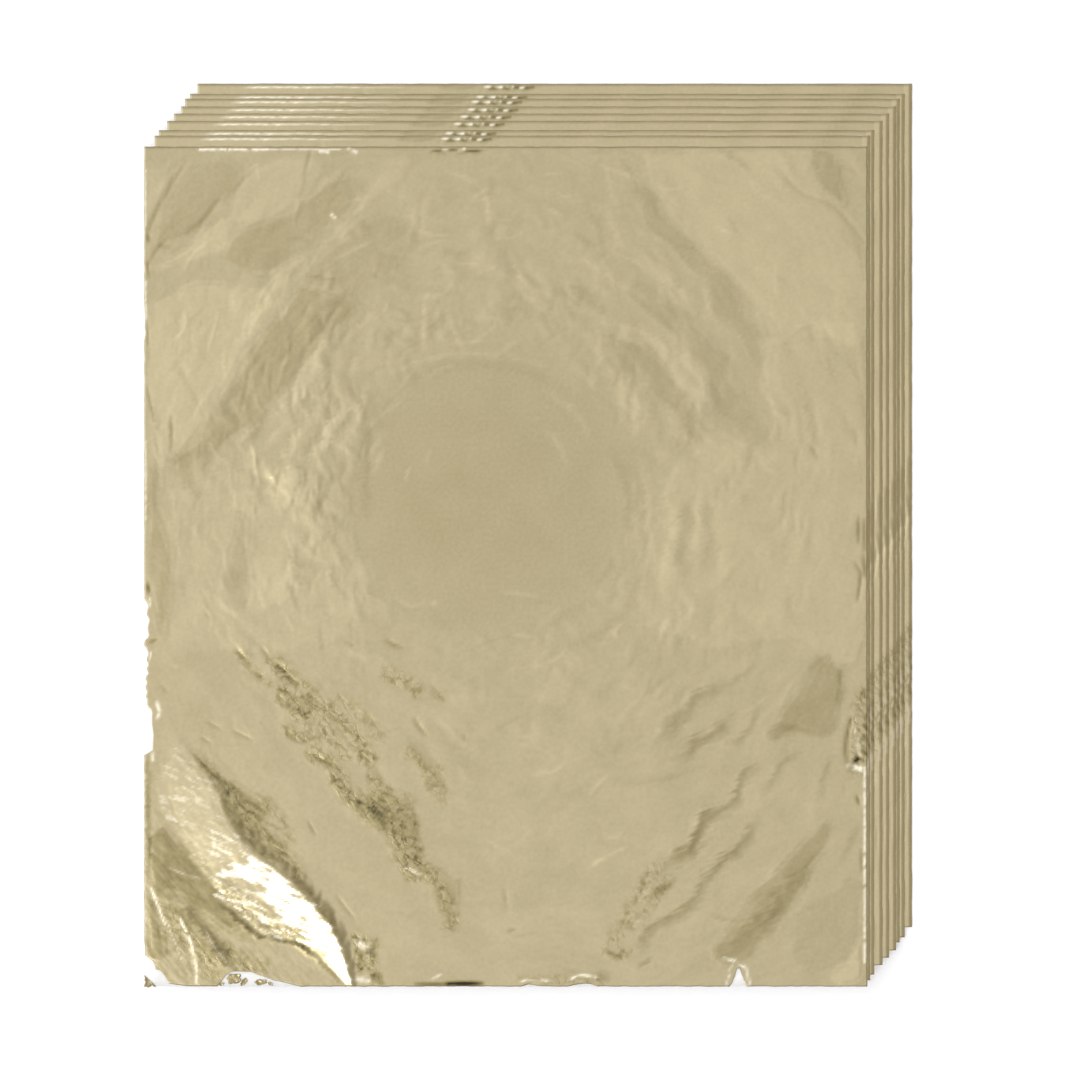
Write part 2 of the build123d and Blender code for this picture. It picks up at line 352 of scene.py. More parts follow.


# Flats: the painted sheen of each and its outline. The sheen is painted into the foil's tone in
# steps of 2.2%, lighter above zero and darker below. The outlines fray by up to 2 mm.
sheen_step = 0.022
outline_fray = 2.0
facets = (
    (3, (150, 170), (176, 155), (166, 188), (152, 232)),
    (-3, (190, 162), (225, 158), (242, 174), (222, 200), (187, 233), (165, 243), (152, 258), (158, 222),
        (168, 192)),
    (8, (144, 269), (160, 262), (186, 246), (205, 228), (222, 214), (227, 222), (230, 240), (222, 250),
        (200, 258), (175, 264)),
    (4, (228, 222), (232, 200), (240, 180), (270, 158), (305, 158), (322, 168), (310, 190), (290, 210),
        (262, 222), (238, 232)),
    (-5, (220, 262), (228, 243), (236, 233), (262, 222), (300, 205), (318, 192), (335, 182), (354, 180),
        (360, 196), (345, 215), (318, 235), (296, 255), (275, 270), (250, 275)),
    (3, (303, 258), (330, 232), (350, 212), (375, 180), (395, 160), (412, 160), (395, 185), (370, 205),
        (345, 232), (320, 250)),
    (6, (250, 310), (262, 285), (280, 266), (303, 256), (306, 263), (291, 277), (286, 300), (266, 322),
        (256, 338), (245, 335)),
    (6, (150, 300), (200, 282), (240, 286), (270, 294), (262, 322), (244, 352), (226, 384), (210, 410),
        (196, 432), (180, 452), (164, 464), (153, 440), (148, 400), (148, 350)),
    (-6, (300, 285), (290, 300), (268, 328), (252, 352), (236, 380), (219, 404), (208, 420), (196, 440),
        (180, 455), (176, 470), (186, 474), (205, 465), (228, 440), (250, 425), (270, 405), (285, 390),
        (300, 368), (318, 345), (340, 325), (357, 314), (350, 300), (326, 294)),
    (-3, (310, 265), (345, 236), (375, 215), (400, 215), (415, 240), (400, 265), (370, 280), (350, 300),
        (325, 298), (302, 284)),
    (-5, (150, 468), (158, 480), (160, 520), (171, 560), (170, 620), (164, 640), (152, 590), (149, 500)),
    (3, (172, 490), (230, 470), (300, 470), (350, 540), (366, 600), (330, 640), (260, 650), (172, 640),
        (176, 560)),
    (-5, (238, 500), (246, 525), (249, 560), (253, 590), (240, 612), (227, 604), (221, 580), (228, 552),
        (236, 530)),
    (3, (251, 556), (284, 553), (290, 590), (264, 612), (248, 595)),
    (5, (272, 500), (277, 478), (290, 466), (303, 468), (299, 492), (287, 511)),
    (4, (325, 490), (338, 476), (347, 492), (346, 512), (331, 516)),
    (-5, (618, 156), (632, 165), (642, 185), (656, 198), (664, 215), (682, 232), (697, 245), (707, 262),
        (724, 275), (736, 290), (743, 315), (757, 335), (761, 360), (752, 363), (742, 345), (735, 331),
        (716, 312), (705, 286), (685, 263), (668, 243), (649, 232), (640, 210), (630, 190)),
    (-6, (606, 330), (625, 338), (646, 345), (663, 364), (676, 380), (686, 400), (693, 425), (690, 444),
        (682, 442), (672, 415), (655, 398), (640, 380), (620, 362), (611, 347)),
    (4, (640, 238), (656, 260), (682, 285), (700, 312), (696, 318), (676, 298), (658, 280), (640, 260)),
    (-4, (630, 280), (646, 280), (662, 300), (682, 310), (702, 330), (717, 350), (731, 362), (728, 382),
        (742, 400), (757, 415), (768, 447), (752, 450), (733, 425), (710, 410), (706, 385), (699, 365),
        (680, 341), (660, 325), (640, 310), (626, 295)),
    (4, (613, 318), (640, 325), (662, 336), (684, 352), (701, 375), (706, 402), (694, 416), (681, 395),
        (668, 370), (648, 345), (624, 334)),
    (3, (598, 348), (625, 375), (642, 396), (662, 425), (648, 432), (612, 388)),
    (4, (645, 152), (806, 150), (812, 176), (842, 222), (862, 262), (862, 345), (812, 325), (778, 345),
        (762, 320), (744, 290), (722, 265), (692, 240), (666, 205), (652, 185)),
    (3, (760, 340), (812, 325), (862, 345), (862, 650), (790, 640), (700, 640), (640, 600), (690, 440),
        (770, 440)),
    (-7, (811, 148), (834, 150), (839, 175), (846, 201), (838, 206), (824, 190), (814, 170)),
    (-4, (566, 278), (590, 288), (602, 312), (584, 308), (568, 296)),
    (-9, (819, 654), (830, 650), (838, 665), (846, 668), (844, 690), (838, 712), (836, 731), (815, 736),
        (790, 731), (775, 741), (767, 736), (775, 724), (783, 710), (795, 695), (803, 680), (811, 665)),
    (-9, (827, 820), (832, 832), (826, 850), (812, 868), (804, 888), (794, 903), (784, 918), (771, 932),
        (758, 945), (745, 960), (725, 963), (714, 950), (724, 934), (738, 916), (748, 900), (760, 884),
        (776, 872), (790, 856), (802, 842), (815, 829)),
    (-3, (802, 905), (850, 880), (862, 900), (852, 940), (830, 968), (790, 962)),
    (7, (862, 938), (863, 976), (846, 984), (833, 975), (850, 955)),
    (-14, (152, 838), (163, 824), (183, 848), (200, 864), (212, 880), (222, 900), (238, 914), (252, 930),
        (243, 938), (226, 930), (210, 917), (190, 905), (170, 898), (158, 894), (151, 870)),
    (-10, (149, 896), (158, 912), (166, 952), (150, 952)),
    (-9, (183, 902), (203, 915), (221, 938), (238, 962), (226, 970), (205, 952), (190, 932), (178, 914)),
    (4, (176, 748), (192, 762), (206, 778), (214, 798), (220, 818), (234, 836), (246, 850), (232, 858),
        (212, 864), (200, 860), (186, 836), (168, 815), (160, 790), (164, 768)),
    (3, (216, 878), (240, 888), (262, 905), (286, 928), (298, 940), (272, 936), (251, 922), (231, 906),
        (219, 893)),
    (-9, (192, 752), (206, 764), (226, 777), (244, 788), (262, 800), (270, 812), (262, 824), (276, 838),
        (284, 852), (296, 866), (308, 880), (318, 897), (332, 920), (344, 945), (338, 944), (326, 922),
        (310, 900), (296, 882), (280, 866), (262, 856), (245, 842), (232, 828), (222, 812), (217, 790),
        (204, 774)),
    (-7, (424, 866), (440, 864), (456, 878), (458, 898), (454, 916), (449, 934), (442, 918), (434, 896)),
    (-8, (368, 784), (392, 790), (411, 808), (418, 834), (424, 868), (414, 878), (398, 862), (384, 838),
        (370, 808)),
    (-5, (325, 758), (340, 770), (352, 792), (368, 800), (388, 822), (376, 832), (350, 806), (338, 792)),
)
flat_rise, flat_ridge, ridge_width = 0.02, 0.004, 0.45


def press_facets(x, y, height, tone):
    """Flats of painted sheen, lighter or darker, with feathered edges and a slight rise and ridge."""
    for light, *outline in facets:
        outline = on_leaf(outline)
        here = near_to(x, y, outline, outline_fray)
        near_x, near_y = x[here], y[here]
        deep, around = within(near_x, near_y, outline)
        frayed = 0.9 * bumps(near_x, near_y, 3.7, 7)
        frayed += 1.4 * unevenness(around / 6.5, deep / 0.9, 38)
        frayed += 0.6 * unevenness((near_x + near_y) / 3.1, (near_y - 0.3 * near_x) / 0.5, 10)
        deep = deep + frayed
        softness = 0.3 + 1.6 * unevenness(around / 13, np.full_like(around, 0.5), 45)
        softness = 0.8 + 3.2 * np.clip(softness, 0, 1)
        flat = np.clip(deep / softness + 0.4, 0, 1)
        flat = flat * flat * (3 - 2 * flat)
        drawn = 1 + 0.35 * unevenness(around / 7.0, deep / 1.1, 39)
        # Painted sheen: the flat is made lighter or darker in its tone.
        tone[here] += sheen_step * light * flat * drawn
        height[here] += flat_rise * flat + flat_ridge * fading(deep, ridge_width)


streak_long, streak_short = (3.6, 0.5, 0.30, 49), (1.3, 0.6, 0.18, 50)


def corner_streaks(x, y, tone):
    """Streaks of lighter and darker tone over the lower left corner, which is also made a little darker.
    """
    corner = np.clip(1.5 - (x + y) / 28, 0, 1)
    along, over = slanted(x, y, *streak_slant)
    for length, width, strength, seed in (streak_long, streak_short):
        tone += strength * corner * unevenness(along / length, over / width, seed)
    tone -= 0.03 * corner


# Bands of sheen: the steps of sheen, the half width in mm, and the line. Part of a band's
# light comes from its slope and the rest is painted into its tone.
sheen_bands = (
    (10, 1.2, (346, 406), (332, 428), (320, 446), (304, 470)),
    (10, 1.1, (322, 400), (302, 430), (284, 462), (274, 492)),
    (6, 0.8, (282, 426), (268, 444), (254, 454)),
    (5, 0.8, (362, 412), (350, 434), (340, 456)),
    (7, 0.6, (382, 434), (375, 446), (369, 460)),
    (6, 0.5, (384, 450), (373, 472)),
    (5, 0.6, (254, 424), (240, 446)),
    (7, 1, (330, 343), (314, 360), (300, 380), (288, 402), (272, 424)),
    (6, 0.8, (320, 362), (308, 384), (296, 404)),
    (5, 0.5, (328, 366), (324, 386), (320, 402)),
    (5, 0.6, (372, 316), (356, 330), (342, 342)),
    (4, 0.6, (368, 388), (362, 404), (358, 424)),
    (4, 0.6, (358, 354), (350, 380)),
    (4, 0.5, (392, 345), (386, 370)),
    (8, 0.25, (410, 467), (407, 474), (405, 483)),
    (8, 0.5, (428, 290), (424, 318), (425, 352)),
    (6, 0.5, (415, 207), (412, 226), (404, 244)),
    (4, 0.5, (426, 198), (420, 250)),
    (7, 0.4, (484, 188), (488, 208), (491, 228)),
    (8, 0.4, (450, 314), (457, 337), (466, 352)),
    (5, 0.5, (318, 186), (330, 178), (344, 166)),
    (-4, 0.5, (228, 195), (240, 182), (252, 168)),
    (-5, 0.4, (310, 168), (304, 184), (300, 196)),
    (-4, 0.6, (322, 430), (310, 445), (300, 468)),
    (-5, 0.6, (352, 412), (336, 436), (330, 452)),
    (-5, 0.9, (330, 384), (306, 420), (292, 440)),
    (-6, 0.6, (262, 420), (256, 434), (246, 444)),
    (-4, 0.8, (304, 470), (308, 490), (302, 515)),
    (-5, 0.9, (318, 500), (316, 522)),
    (-5, 0.9, (323, 524), (334, 540), (346, 560)),
    (-6, 0.7, (332, 565), (336, 584), (347, 598)),
    (-7, 0.7, (291, 545), (297, 566), (302, 588)),
    (-8, 0.5, (287, 580), (294, 596), (299, 612)),
    (-5, 0.5, (318, 620), (322, 646), (326, 668)),
    (4, 0.8, (360, 560), (362, 590), (366, 612)),
    (-4, 1, (184, 475), (196, 490), (212, 500)),
    (-7, 0.5, (171, 418), (172, 434), (173, 446)),
    (-6, 0.7, (164, 456), (174, 460), (184, 454)),
    (-6, 0.5, (153, 400), (157, 420), (165, 440)),
    (-4, 0.4, (177, 364), (183, 378), (196, 402)),
    (4, 0.4, (183, 362), (192, 382)),
    (-4, 0.3, (208, 303), (196, 316), (184, 328)),
    (-3, 0.4, (236, 336), (262, 318), (282, 304)),
    (6, 0.5, (392, 372), (430, 358), (470, 354), (512, 356), (545, 366)),
    (-3, 0.9, (396, 384), (436, 368), (480, 364), (530, 372), (566, 392)),
    (4, 0.7, (548, 392), (574, 412), (592, 440)),
    (-4, 1, (376, 430), (366, 470), (366, 520)),
    (5, 0.5, (547, 430), (560, 447), (568, 464)),
    (-6, 1, (690, 500), (684, 530), (679, 568)),
    (-6, 0.9, (704, 500), (709, 535), (708, 568)),
    (6, 0.7, (698, 498), (697, 530), (694, 562)),
    (5, 0.8, (640, 460), (650, 500), (640, 545)),
    (4, 0.8, (620, 560), (600, 590), (570, 615)),
    (-5, 0.8, (612, 452), (628, 486), (626, 530)),
    (-4, 0.9, (616, 560), (590, 600), (552, 625)),
    (4, 1.2, (660, 470), (672, 520), (664, 580)),
    (-4, 0.8, (560, 650), (600, 632), (632, 606)),
    (5, 0.4, (602, 262), (612, 280), (616, 297)),
    (7, 0.4, (509, 252), (521, 276), (533, 292)),
    (4, 0.4, (655, 282), (668, 300)),
    (5, 0.5, (606, 160), (610, 186), (618, 212)),
    (4, 0.6, (606, 200), (614, 226), (622, 250)),
    (-5, 0.8, (590, 206), (600, 226), (604, 252)),
    (5, 0.4, (622, 284), (644, 300), (668, 322)),
    (-5, 0.5, (628, 292), (650, 306), (676, 330)),
    (-6, 0.6, (722, 150), (742, 163), (758, 180)),
    (-4, 0.4, (724, 214), (734, 226), (742, 238)),
    (-6, 0.7, (806, 388), (811, 415), (813, 448)),
    (-5, 0.4, (826, 352), (831, 368), (836, 384)),
    (-5, 0.4, (838, 352), (850, 366), (862, 382)),
    (-4, 0.5, (807, 326), (815, 346)),
    (-5, 0.4, (768, 404), (786, 415)),
    (-5, 0.7, (852, 424), (858, 446)),
    (5, 1, (844, 150), (854, 164), (864, 182)),
    (-5, 0.3, (848, 164), (858, 176)),
    (-8, 0.5, (843, 664), (839, 700), (836, 728)),
    (-5, 1, (822, 656), (812, 672)),
    (-7, 1.1, (800, 728), (780, 730), (770, 737)),
    (-6, 0.6, (754, 665), (732, 683), (712, 692)),
    (-10, 1.3, (718, 688), (698, 700), (686, 712), (672, 726), (660, 740)),
    (-13, 1.2, (728, 720), (716, 734), (702, 741), (690, 750), (678, 757)),
    (-8, 0.7, (800, 754), (785, 762), (776, 776), (765, 792)),
    (-9, 0.7, (760, 708), (751, 728), (742, 740), (730, 744)),
    (-13, 0.9, (756, 767), (745, 775), (739, 790), (735, 802), (720, 812)),
    (-19, 1.25, (722, 811), (706, 820), (699, 834), (690, 848), (680, 856), (667, 866)),
    (-6, 0.4, (711, 839), (698, 852), (690, 862)),
    (-14, 1, (758, 824), (748, 838), (736, 852), (722, 862), (708, 878), (698, 894), (690, 908)),
    (-15, 1, (692, 903), (679, 915), (665, 922), (650, 930), (642, 946)),
    (-13, 0.7, (673, 881), (660, 892), (648, 898)),
    (-4, 0.5, (620, 782), (660, 779), (684, 772), (704, 766)),
    (-6, 0.7, (830, 756), (824, 780), (820, 800)),
    (-6, 0.7, (858, 826), (850, 846), (842, 862)),
    (-9, 1.8, (804, 874), (786, 896), (766, 918), (746, 938), (733, 954)),
    (-5, 0.4, (710, 914), (724, 918), (738, 921)),
    (-10, 0.4, (607, 950), (614, 957), (624, 953)),
    (-13, 0.4, (638, 966), (645, 962), (650, 958)),
    (-8, 0.9, (596, 974), (606, 976), (604, 981)),
    (-6, 0.5, (566, 971), (584, 972)),
    (5, 0.35, (656, 862), (650, 876), (640, 890)),
    (6, 0.35, (652, 884), (642, 897), (634, 908)),
    (6, 0.35, (640, 904), (630, 916), (622, 928)),
    (5, 0.35, (644, 918), (632, 930)),
    (-13, 0.5, (149, 752), (148, 800), (149, 876)),
    (-26, 0.5, (222, 905), (240, 920), (256, 933), (276, 938), (300, 945), (320, 961), (338, 979)),
    (18, 0.35, (150, 886), (157, 902), (165, 923)),
    (14, 0.45, (181, 922), (190, 944), (196, 966), (197, 983)),
    (9, 0.4, (172, 938), (184, 960), (190, 978)),
    (-11, 1, (183, 904), (203, 926), (218, 946), (232, 965), (246, 976)),
    (-9, 0.5, (170, 900), (186, 924), (194, 946)),
    (-12, 0.35, (236, 801), (250, 812), (264, 818)),
    (-14, 0.4, (246, 798), (256, 806), (268, 815)),
    (-10, 0.35, (226, 780), (238, 790), (244, 800)),
    (-10, 0.35, (262, 820), (274, 826), (286, 829)),
    (-10, 0.35, (260, 838), (276, 842), (290, 850)),
    (-8, 0.35, (276, 850), (292, 858)),
    (-14, 0.6, (356, 946), (361, 958), (359, 972)),
    (-12, 0.5, (376, 940), (372, 950), (378, 962)),
    (-12, 0.5, (370, 972), (378, 978), (382, 984)),
    (-8, 0.5, (336, 728), (352, 746), (372, 768), (392, 796)),
    (-6, 0.4, (344, 722), (360, 742), (376, 760)),
    (-9, 0.5, (412, 802), (416, 830), (421, 862)),
    (-5, 0.7, (356, 788), (372, 806), (384, 830)),
    (-6, 0.6, (286, 722), (298, 734), (312, 738)),
    (-7, 1.2, (412, 744), (428, 762), (440, 790)),
    (-6, 0.4, (438, 770), (442, 792)),
    (8, 0.3, (404, 866), (412, 870), (422, 876)),
)
slope_part, tone_part = 0.35, 0.75
sheen_for_slope = 2.83
least_facing = 0.55


def press_bands(x, y, height, tone):
    """Narrow bands where the foil leans towards the light or away from it, and painted sheen along them.
    """
    for light, half_width, *line in sheen_bands:
        line = on_leaf(line)
        here, off, along = beside(x, y, line, 3 * half_width)
        near_x, near_y = x[here], y[here]
        run = np.array(line[-1]) - np.array(line[0])
        facing = run[1] / np.hypot(*run)
        facing = np.copysign(max(abs(facing), least_facing), facing)
        passed = along * np.hypot(*run)
        off = off + half_width * 0.7 * bumps(near_x, near_y, 2.3, 7)
        hatch_along, hatch_over = slanted(near_x, near_y, *hatch_slant)
        hatch = unevenness(hatch_along / 2.9, hatch_over / 0.42, 10)
        off = off + (0.2 + half_width) * hatch
        light = light * (1 + 0.7 * unevenness(passed / 3.4, off / 1.1, 46) + 0.8 * hatch)
        taper = tapered(along, 0.04, 0.6)
        lean = slope_part * sheen_step * light / (sheen_for_slope * facing)
        height[here] -= lean * off * taper * fading(off, half_width)
        # Painted sheen: the rest of the band's light is put into its tone.
        tone[here] += tone_part * sheen_step * light * taper * fading(off, half_width, 2.6)


# Hair creases: the depth and the half width in mm, the steps of light, and the line. A
# depth below zero makes a ridge. The steps of light are painted along the crease, painted
# shade below zero and painted highlight above; a step is smaller here than for the sheen.
crease_step = 0.013
creases = (
    (0.05, 0.4, -14, (186, 160), (170, 188), (155, 215), (147, 240)),
    (0.05, 0.4, -14, (220, 198), (205, 218), (187, 233)),
    (0.04, 0.3, -12, (311, 150), (308, 163), (304, 177)),
    (0.04, 0.35, -14, (148, 264), (158, 248), (168, 238)),
    (0.03, 0.4, -14, (160, 246), (172, 247)),
    (0.03, 0.25, -12, (308, 275), (322, 278), (336, 279)),
    (0.03, 0.3, -6, (372, 272), (384, 282)),
    (0.02, 0.3, 12, (252, 272), (264, 273)),
    (-0.03, 0.3, 30, (331, 214), (336, 219)),
    (0.03, 0.3, 5, (222, 285), (240, 288), (262, 290)),
    (0.04, 0.3, -20, (811, 446), (817, 458)),
    (0.04, 0.35, -8, (775, 166), (800, 192), (832, 206), (850, 224), (864, 242)),
    (0.03, 0.3, -10, (505, 889), (507, 910)),
    (0.04, 0.3, -20, (509, 931), (517, 928)),
    (0.03, 0.25, -14, (205, 612), (211, 619)),
    (0.05, 0.35, -22, (236, 648), (243, 657), (250, 665)),
    (0.04, 0.25, -14, (262, 648), (269, 658)),
    (0.04, 0.25, -16, (276, 664), (286, 672)),
    (0.05, 0.35, -22, (280, 668), (290, 678), (298, 684)),
    (0.04, 0.3, -16, (256, 674), (266, 678)),
    (0.04, 0.25, -18, (308, 696), (318, 702), (327, 709)),
    (0.04, 0.3, -16, (286, 727), (293, 737), (302, 742), (316, 737)),
    (0.05, 0.3, -20, (310, 755), (324, 761), (337, 769)),
    (0.04, 0.3, -20, (191, 752), (202, 762), (210, 771), (221, 781)),
    (0.03, 0.25, -12, (202, 738), (211, 743)),
    (0.03, 0.25, -10, (206, 721), (221, 729)),
    (0.03, 0.25, -12, (234, 731), (252, 740)),
    (0.03, 0.25, -12, (160, 685), (168, 691)),
    (0.05, 0.35, -24, (386, 640), (394, 645), (403, 648)),
    (0.03, 0.25, -14, (346, 642), (354, 646)),
    (0.03, 0.25, -12, (431, 685), (435, 692), (442, 698)),
    (0.03, 0.25, -14, (367, 713), (371, 721), (378, 728)),
    (0.05, 0.3, -20, (414, 718), (419, 726), (425, 734)),
    (0.03, 0.25, -18, (309, 822), (315, 834)),
    (0.03, 0.25, -12, (337, 896), (345, 907), (354, 918)),
    (0.03, 0.25, -12, (463, 734), (465, 741)),
    (0.05, 0.3, -45, (851, 718), (847, 735), (846, 750), (847, 764)),
    (0.05, 0.4, -40, (850, 770), (858, 758), (863, 760)),
    (0.03, 0.3, 16, (430, 604), (436, 602)),
    (0.03, 0.3, 8, (512, 634), (528, 637)),
    (0.03, 0.3, 8, (500, 592), (536, 596)),
    (0.03, 0.3, 8, (395, 598), (408, 606), (424, 603)),
    (0.05, 0.35, -50, (148, 583), (149, 592)),
    (0.04, 0.3, -35, (150, 642), (156, 640)),
    (0.04, 0.3, -25, (147, 235), (150, 242)),
    (0.03, 0.25, -26, (147, 262), (149, 276)),
    (0.03, 0.25, -20, (147, 322), (148, 345)),
    (0.03, 0.25, -26, (147, 386), (150, 402), (154, 420)),
    (0.03, 0.3, -16, (171, 416), (172, 436), (171, 452)),
    (0.02, 0.3, -50, (416, 984), (450, 984)),
    (0.02, 0.4, -85, (448, 983.5), (482, 983.5)),
    (0.02, 0.22, -50, (433, 151), (441, 151)),
    (0.02, 0.22, -50, (449, 150), (457, 150)),
    (0.02, 0.22, -50, (466, 151), (481, 151)),
    (0.05, 0.3, -28, (859, 518), (859, 543)),
    (0.05, 0.3, -28, (855, 563), (861, 575), (858, 600)),
    (0.04, 0.3, -40, (857, 796), (859, 804)),
    (0.03, 0.3, -20, (862, 850), (862, 870)),
    (0.04, 0.4, -30, (864.5, 520), (865, 550)),
    (0.04, 0.35, -30, (864, 556), (865, 576)),
)
fine_crease_count = 230
darkest_lower_crease = -32


def strew_fine_creases(count):
    """Short hair creases, mostly round the disc, thickest where the foil is most crumpled."""
    dice = np.random.default_rng(11)
    strewn = []
    while len(strewn) < count:
        x, y = dice.uniform(3, leaf_width - 3), dice.uniform(3, leaf_length - 3)
        radius, angle = round_disc(x, y)
        wanted = 0.15 + 0.85 * lobe(angle, 125, 60)
        wanted *= np.clip((radius - 15) / 12, 0.12, 1) * np.clip(1.5 - radius / 75, 0.2, 1)
        if dice.random() > wanted:
            continue
        towards = angle + np.pi / 2 + dice.normal(0.15, 0.35)
        length, bend = dice.uniform(1.5, 7.0), dice.normal(0, 0.35)
        line = []
        for step in (-0.5, -0.17, 0.17, 0.5):
            turn = towards + bend * step
            line.append((x + length * step * np.cos(turn), y + length * step * np.sin(turn)))
        light = dice.choice([-5.0, 8.0]) * dice.uniform(0.4, 1.3)
        strewn.append((-0.0022 * light, dice.uniform(0.18, 0.34), light, line))
    return strewn


fine_creases = strew_fine_creases(fine_crease_count)


def press_creases(x, y, height, tone, top_leaf):
    """Hair creases, pressed in and painted darker or lighter: those noted in the photo and the fine ones
    strewn between them.
    """
    noted = [(depth, half_width, light, on_leaf(line)) for depth, half_width, light, *line in creases]
    for depth, half_width, light, line in noted + fine_creases:
        if not top_leaf:
            light = max(light, darkest_lower_crease)
        here, off, along = beside(x, y, line, 3 * half_width)
        swell = fading(off, half_width) * tapered(along, 0.08, 0.5)
        height[here] -= depth * swell
        # Painted shade or painted highlight along the crease.
        tone[here] += crease_step * light * swell


# Crackled tracks: the half width in mm, how strongly the foil is crackled, and the line.
crackle_tracks = (
    (1.2, 0.5, (240, 655), (258, 675), (275, 690)),
    (1.6, 0.9, (275, 664), (296, 684), (315, 703), (335, 715), (354, 733), (368, 757)),
    (1.6, 1, (282, 694), (296, 708), (309, 719)),
    (1.3, 0.6, (287, 731), (302, 735), (316, 736)),
    (1.2, 0.8, (324, 724), (333, 742), (345, 755)),
    (1.6, 1, (314, 752), (334, 768), (344, 788), (360, 806), (373, 813)),
    (2.3, 0.9, (376, 800), (394, 826), (406, 850), (414, 872)),
    (1.5, 0.7, (418, 862), (434, 878), (446, 898), (452, 922)),
    (1.5, 0.8, (388, 674), (402, 682), (416, 688)),
    (1.2, 0.6, (410, 752), (424, 768), (434, 790)),
    (0.9, 0.5, (434, 690), (440, 700)),
    (1.5, 0.5, (404, 800), (410, 830), (417, 858)),
    (1.3, 0.5, (205, 765), (222, 785), (238, 815), (258, 845), (283, 868)),
    (1, 0.4, (296, 880), (318, 905), (337, 930)),
    (1.4, 1, (358, 940), (366, 952), (362, 964)),
    (1.2, 0.9, (374, 944), (370, 966), (378, 982)),
    (1.5, 0.7, (658, 868), (646, 884), (640, 898)),
    (1.7, 0.6, (634, 906), (624, 924), (612, 944)),
    (1.2, 0.5, (668, 882), (652, 902), (636, 926)),
    (1, 0.7, (606, 950), (616, 956), (626, 952)),
    (1.6, 0.4, (165, 930), (185, 955), (205, 975), (240, 980)),
    (1.2, 0.8, (858, 700), (857, 735), (858, 770)),
    (0.6, 0.3, (432, 152), (456, 152), (482, 152)),
    (0.6, 0.2, (320, 152), (335, 154), (356, 150)),
    (1, 0.5, (520, 980), (548, 980), (570, 980), (602, 980)),
    (1.2, 0.5, (436, 770), (442, 800)),
    (0.7, 1, (864, 690), (865, 720), (864, 760)),
    (1, 0.5, (262, 800), (282, 820), (290, 842)),
    (1.4, 0.7, (214, 776), (236, 800), (256, 824)),
    (1.2, 0.6, (262, 832), (284, 852), (300, 872)),
    (1.6, 0.7, (160, 905), (184, 935), (214, 965)),
    (1.5, 0.6, (228, 950), (246, 962), (262, 966)),
    (1.6, 0.7, (222, 888), (246, 906), (272, 924), (300, 940)),
    (1.3, 0.5, (340, 700), (362, 716), (380, 738)),
    (1.2, 0.7, (372, 776), (386, 792), (400, 806)),
)
crackle_rise = 0.05
fleck_darkness = 0.43


def crackle_foil(x, y, height, tone):
    """Crackles the foil along its tracks, darkens its flecks as painted shade, and gives how strongly it
    is crackled, from 0 to 1.
    """
    crackle = np.zeros(x.shape)
    for half_width, share, *line in crackle_tracks:
        here, off, along = beside(x, y, on_leaf(line), 2.5 * half_width)
        off = off + half_width * 0.6 * bumps(x[here], y[here], 2.2, 17)
        patch = share * np.clip(1.6 * fading(off, half_width) - 0.3, 0, 1)
        crackle[here] = np.maximum(crackle[here], patch)
    height += crackle * crackle_rise * np.abs(bumps(x, y, 1.5, 11))
    along, over = slanted(x, y, *streak_slant)
    flecks = unevenness(along / 1.9, over / 0.55, 36) + 0.7 * bumps(x, y, 0.8, 47)
    # Painted shade: the crackled flecks are made darker in the tone.
    tone -= fleck_darkness * crackle * np.clip(flecks * 1.6 + 0.12, 0, 1)
    return crackle


# The fold across the lower left corner: the lines of its crest and of its foot, and, at
# shares of the way down the crest, its height and how far its back flank reaches, in mm.
fold_crest = (
    (172, 735), (190, 752), (205, 772), (218, 795), (225, 816), (237, 836), (252, 852), (270, 866),
    (287, 879), (303, 894), (320, 912), (334, 931), (344, 955), (351, 984),
)
fold_foot = (
    (160, 752), (164, 790), (178, 835), (200, 872), (226, 897), (255, 914), (285, 937), (308, 956),
    (332, 971), (349, 986),
)
fold_passed = (0.0, 0.12, 0.30, 0.50, 0.75, 0.92, 1.0)
fold_heights = (0.0, 0.08, 0.17, 0.28, 0.36, 0.30, 0.20)
fold_back_reaches = (0.8, 1.5, 2.2, 2.4, 1.8, 1.3, 0.9)


def corner_fold(x, y):
    """Height of the fold: a long flank to the corner, a short one behind."""
    crest_off, along = off_line(x, y, on_leaf(fold_crest))
    foot_off = off_line(x, y, on_leaf(fold_foot))[0]
    to_crest, to_foot = np.abs(crest_off), np.abs(foot_off)
    crest_height = np.interp(along, fold_passed, fold_heights)
    reach = np.interp(along, fold_passed, fold_back_reaches)
    reach = reach * (1 + 0.7 * bumps(x, y, 1.3, 13))
    between = (crest_off < 0) & (foot_off > 0)
    climb = to_foot / np.maximum(to_foot + to_crest, 0.01)
    back = np.clip(1 - to_crest / reach, 0, 1)
    fold = np.where(crest_off >= 0, crest_height * back, 0)
    fold = np.where(between, crest_height * climb, fold)
    streak_along, streak_over = slanted(x, y, *fold_slant)
    streaks = unevenness(streak_along / 3.2, streak_over / 0.9, 12) + 0.6 * bumps(x, y, 1.1, 19)
    relief = np.where(between, 0.010 + 0.018 * np.clip(2 * along - 0.5, 0, 1), 0)
    return fold + relief * streaks * np.clip(to_foot / 2, 0, 1)


# Ticks of painted shade in the margins of the lower leaves: the steps of sheen, the half width and the
# line.
margin_ticks = (
    (-24, 0.3, (440, 151), (447, 151.5)),
    (-24, 0.3, (452, 151), (459, 151.5)),
    (-24, 0.3, (463, 150), (470, 150)),
    (-24, 0.3, (475, 151), (484, 150)),
    (-8, 0.35, (392, 150), (402, 151)),
    (-8, 0.35, (412, 151), (424, 150)),
    (-5, 0.35, (864.5, 520), (865, 550)),
    (-6, 0.3, (863.5, 556), (864.5, 576)),
    (-5, 0.3, (864.5, 585), (864.5, 600)),
    (-4, 0.3, (863.8, 690), (864.4, 706)),
    (-5, 0.3, (863.6, 726), (864.4, 748)),
)
rim_width, rim_press = 0.45, 0.17


